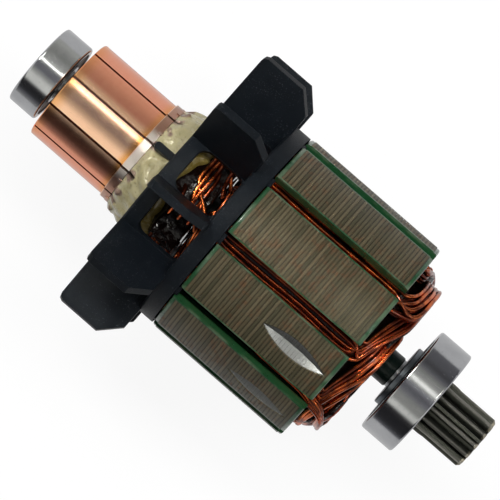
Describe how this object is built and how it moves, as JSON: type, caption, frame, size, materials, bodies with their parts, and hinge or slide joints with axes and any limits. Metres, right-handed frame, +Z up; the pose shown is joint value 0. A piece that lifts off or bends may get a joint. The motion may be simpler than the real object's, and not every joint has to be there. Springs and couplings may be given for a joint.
{
  "type": "motor armature",
  "caption": "Wound motor armature: laminated core with copper coils, commutator, cooling fan, toothed pinion and a ball bearing at each end.",
  "frame": {"origin": "on the shaft's axis, at the middle of the pinion-end bearing", "axes": "+X along the shaft from the commutator to the pinion; +Z up, through the middle of a slot"},
  "size_m": [0.0889, 0.049, 0.051],
  "materials": {
    "ground_steel": "ground",
    "core_steel": "turned laminations, faintly rusted",
    "green_epoxy": "powder-coated epoxy",
    "enamelled_copper": "enamelled copper wire under varnish",
    "cream_resin": "cast resin",
    "brown_moulding": "phenolic moulding",
    "bare_copper": "turned copper",
    "black_nylon": "glass-filled nylon",
    "spacer_steel": "turned",
    "pinion_steel": "hardened steel",
    "bearing_steel": "polished",
    "ball_steel": "lapped",
    "cage_steel": "pressed",
    "shield_steel": "pressed"
  },
  "bodies": {
    "armature": {"shaft": "ground_steel", "lamination_stack": "core_steel", "core_insulation": "green_epoxy", "coil_1": "enamelled_copper", "coil_2": "enamelled_copper", "coil_3": "enamelled_copper", "coil_4": "enamelled_copper", "coil_5": "enamelled_copper", "coil_6": "enamelled_copper", "coil_7": "enamelled_copper", "coil_8": "enamelled_copper", "coil_9": "enamelled_copper", "coil_10": "enamelled_copper", "lead_wires": "enamelled_copper", "lead_resin": "cream_resin", "commutator_hub": "brown_moulding", "commutator_bar_1": "bare_copper", "commutator_bar_2": "bare_copper", "commutator_bar_3": "bare_copper", "commutator_bar_4": "bare_copper", "commutator_bar_5": "bare_copper", "commutator_bar_6": "bare_copper", "commutator_bar_7": "bare_copper", "commutator_bar_8": "bare_copper", "commutator_bar_9": "bare_copper", "commutator_bar_10": "bare_copper", "fan": "black_nylon", "spacer_disc": "spacer_steel", "pinion": "pinion_steel", "pinion_bearing_inner_ring": "bearing_steel", "commutator_bearing_inner_ring": "bearing_steel"},
    "pinion_bearing_outer": {"pinion_bearing_outer_ring": "bearing_steel", "pinion_bearing_inboard_shield": "shield_steel", "pinion_bearing_outboard_shield": "shield_steel"},
    "pinion_bearing_ball_set": {"pinion_bearing_balls": "ball_steel", "pinion_bearing_cage": "cage_steel"},
    "commutator_bearing_outer": {"commutator_bearing_outer_ring": "bearing_steel", "commutator_bearing_inboard_shield": "shield_steel", "commutator_bearing_outboard_shield": "shield_steel"},
    "commutator_bearing_ball_set": {"commutator_bearing_balls": "ball_steel", "commutator_bearing_cage": "cage_steel"}
  },
  "joints": [
    {"name": "pinion_bearing_turn", "type": "hinge", "parent": "armature", "child": "pinion_bearing_outer", "pos_m": [0, 0, 0], "axis": [1, 0, 0], "continuous": true},
    {"name": "pinion_ball_orbit", "type": "hinge", "parent": "armature", "child": "pinion_bearing_ball_set", "pos_m": [0, 0, 0], "axis": [1, 0, 0], "continuous": true},
    {"name": "commutator_bearing_turn", "type": "hinge", "parent": "armature", "child": "commutator_bearing_outer", "pos_m": [-0.0741, 0, 0], "axis": [1, 0, 0], "continuous": true},
    {"name": "commutator_ball_orbit", "type": "hinge", "parent": "armature", "child": "commutator_bearing_ball_set", "pos_m": [-0.0741, 0, 0], "axis": [1, 0, 0], "continuous": true}
  ],
  "couplings": [
    {"joint": "pinion_ball_orbit", "follows": "pinion_bearing_turn", "ratio": 0.6458},
    {"joint": "commutator_ball_orbit", "follows": "commutator_bearing_turn", "ratio": 0.6316}
  ]
}
